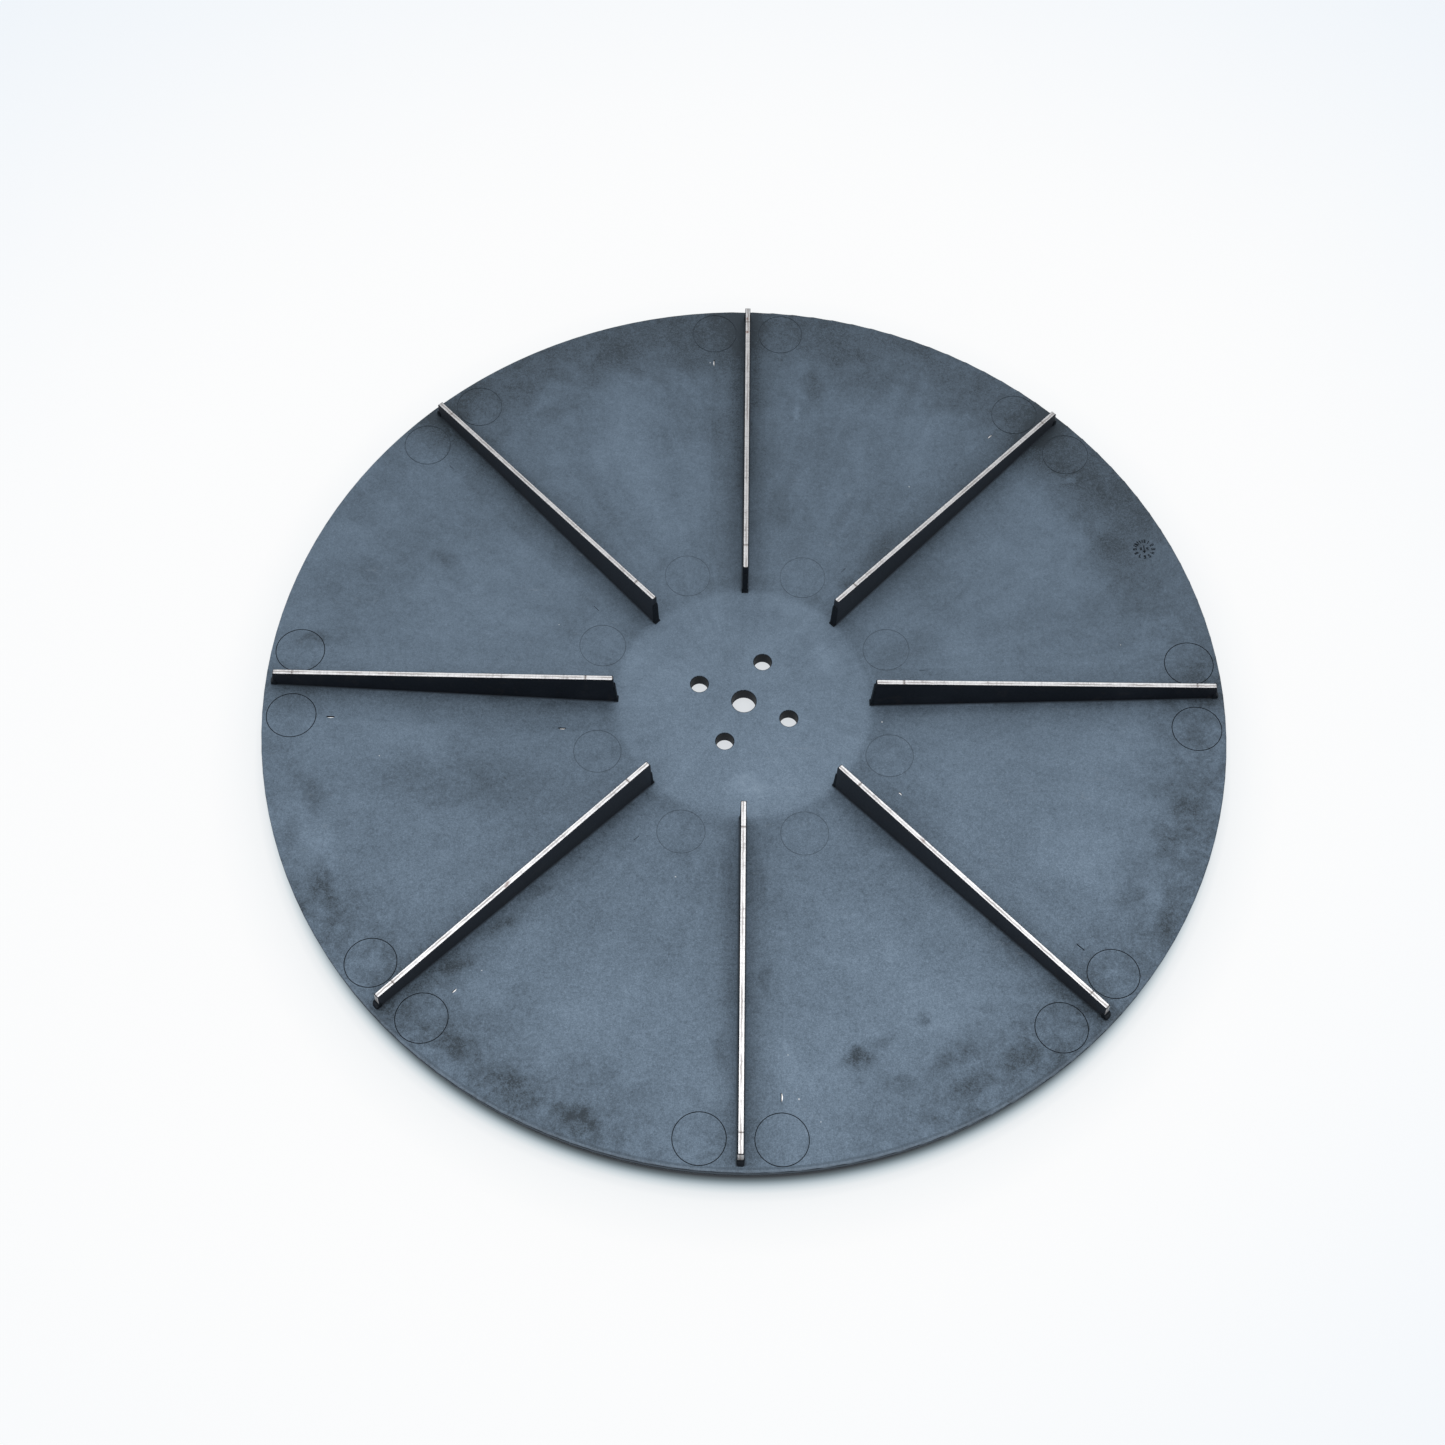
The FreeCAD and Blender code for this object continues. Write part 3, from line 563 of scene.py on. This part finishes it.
    # painted light: the faces of the diagonal vanes are painted lighter, as they meet the light at an angle
    diagonal_face_light = m.range(m.math("ABSOLUTE", m.math("DIVIDE", m.math("MULTIPLY", x, y), m.math("MULTIPLY", r, r))), 0.20, 0.46)
    face = m.mix(m.math("MULTIPLY", diagonal_face_light, 0.62), face, lin(52, 57, 64))
    face = m.mix(m.math("MULTIPLY", scale, 0.16), face, lin(62, 56, 52))
    col = m.mix(cut, face, cutcol)
    m.link(col, m.bsdf.inputs["Base Color"])
    m.link(m.range(cut, 0.0, 1.0, 0.0, 0.55), m.bsdf.inputs["Metallic"])
    rgh = m.math("ADD", m.math("MULTIPLY", m.math("SUBTRACT", stroke, 0.5), 0.22), m.range(cut, 0.0, 1.0, 0.50, 0.36))
    rgh = m.math("ADD", rgh, m.math("MULTIPLY", band, 0.14))
    rgh = m.math("ADD", rgh, m.math("MULTIPLY", rust, 0.30))
    m.link(rgh, m.bsdf.inputs["Roughness"])
    m.bsdf.inputs["Specular IOR Level"].default_value = 0.18
    b1 = m.bump(stroke, 0.35, 0.00008)
    b2 = m.bump(millf, 0.15, 0.00010, b1)
    m.link(b2, m.bsdf.inputs["Normal"])
    return m.m


def assign(obj, mat):
    obj.data.materials.clear()
    obj.data.materials.append(mat)


mat_disc = plastic()
mat_steel = steel()
assign(nodes["spreader_disc"], mat_disc)
nodes["spreader_disc"].data.materials.append(raw_plastic())
mark_raw(nodes["spreader_disc"], 1)
for k in range(VANE_N):
    assign(nodes["vane_%d" % (k + 1)], mat_steel)


# ------------------------------------------------------------------
# Floor and light
# ------------------------------------------------------------------
def floor():
    """Pale table with some light of its own, as in a light tent; its glow is painted dark under and just round the disc
    as a painted shadow, left lit under the hub, and the table is painted darker and bluer towards the far corners as
    painted falloff.
    """
    m = Mat("floor_paper")
    tc = m.node("ShaderNodeTexCoord")
    P = tc.outputs["Object"]
    x, y, z = m.xyz(P)[:3]
    r = m.math("SQRT", m.math("ADD", m.math("MULTIPLY", x, x), m.math("MULTIPLY", y, y)))
    n = m.noise(P, 3.0, 2.0, 0.5)
    # painted light falloff: colour and glow darker and bluer towards the far corners, more so towards +x, -y
    lean = m.math("MULTIPLY", m.math("MAXIMUM", m.math("SUBTRACT", x, y), 0.0), 0.25)
    far = m.range(m.math("ADD", r, lean), 0.24, 0.62)
    corner_falloff_tint = m.mix(far, (1.0, 1.0, 1.0), (0.88, 0.93, 0.985))
    col = m.mix(1.0, m.mix(n, (0.125, 0.13, 0.135), (0.135, 0.14, 0.145)), corner_falloff_tint, "MULTIPLY")
    m.link(col, m.bsdf.inputs["Base Color"])
    m.bsdf.inputs["Roughness"].default_value = 0.9
    m.bsdf.inputs["Specular IOR Level"].default_value = 0.2
    # painted contact shadow: the glow is dark under the disc and rises to full between r = 168 and 198 mm; under the
    # hub it stays lit, a painted light seen through the holes
    painted_rim_shadow = m.ramp(m.range(r, 0.168, 0.198, 0.0, 1.0, False),
                  [(0.0, 0.0), (0.160, (0.002, 0.006, 0.010)), (0.20, (0.12, 0.16, 0.18)), (0.235, (0.33, 0.40, 0.44)), (0.27, (0.56, 0.63, 0.67)),
                   (0.305, (0.72, 0.78, 0.81)), (0.345, (0.86, 0.89, 0.91)), (0.44, (0.95, 0.965, 0.975)), (1.0, 1.0)])
    glow = m.mix(m.range(r, 0.10, 0.06), painted_rim_shadow, (0.74, 0.77, 0.80))
    m.link(m.mix(1.0, glow, corner_falloff_tint, "MULTIPLY"), m.bsdf.inputs["Emission Color"])
    m.bsdf.inputs["Emission Strength"].default_value = FLOOR_GLOW
    me = bpy.data.meshes.new("floor")
    s = 6.0
    me.from_pydata([(-s, -s, 0), (s, -s, 0), (s, s, 0), (-s, s, 0)], [], [(0, 1, 2, 3)])
    o = bpy.data.objects.new("floor", me)
    scene.collection.objects.link(o)
    o.location.z = -0.0002
    assign(o, m.m)
    return o


FLOOR_GLOW = 0.84
floor()


def area(name, loc, aim, size, radiance, color=(1, 1, 1)):
    d = bpy.data.lights.new(name, "AREA")
    d.shape = "RECTANGLE"
    d.size, d.size_y = size
    d.energy = radiance * math.pi * size[0] * size[1]
    d.color = color
    o = bpy.data.objects.new(name, d)
    scene.collection.objects.link(o)
    o.location = loc
    o.rotation_mode = "QUATERNION"
    o.rotation_quaternion = (Vector(aim) - Vector(loc)).to_track_quat("-Z", "Y")
    return o


area("soft_top", (0.0, -0.08, 0.95), (0, -0.0801, 0), (1.3, 0.9), 1.70, (1.0, 0.985, 0.965))
area("soft_back", (0.0, 1.05, 0.75), (0, 0, 0), (1.4, 0.6), 0.55, (1.0, 1.0, 1.0))

world = bpy.data.worlds.new("studio")
scene.world = world
world.use_nodes = True
wt = world.node_tree
bg = wt.nodes.get("Background") or wt.nodes.new("ShaderNodeBackground")
bg.inputs["Color"].default_value = (0.97, 0.98, 1.0, 1)
bg.inputs["Strength"].default_value = 0.50
scene.view_settings.view_transform = "Standard"
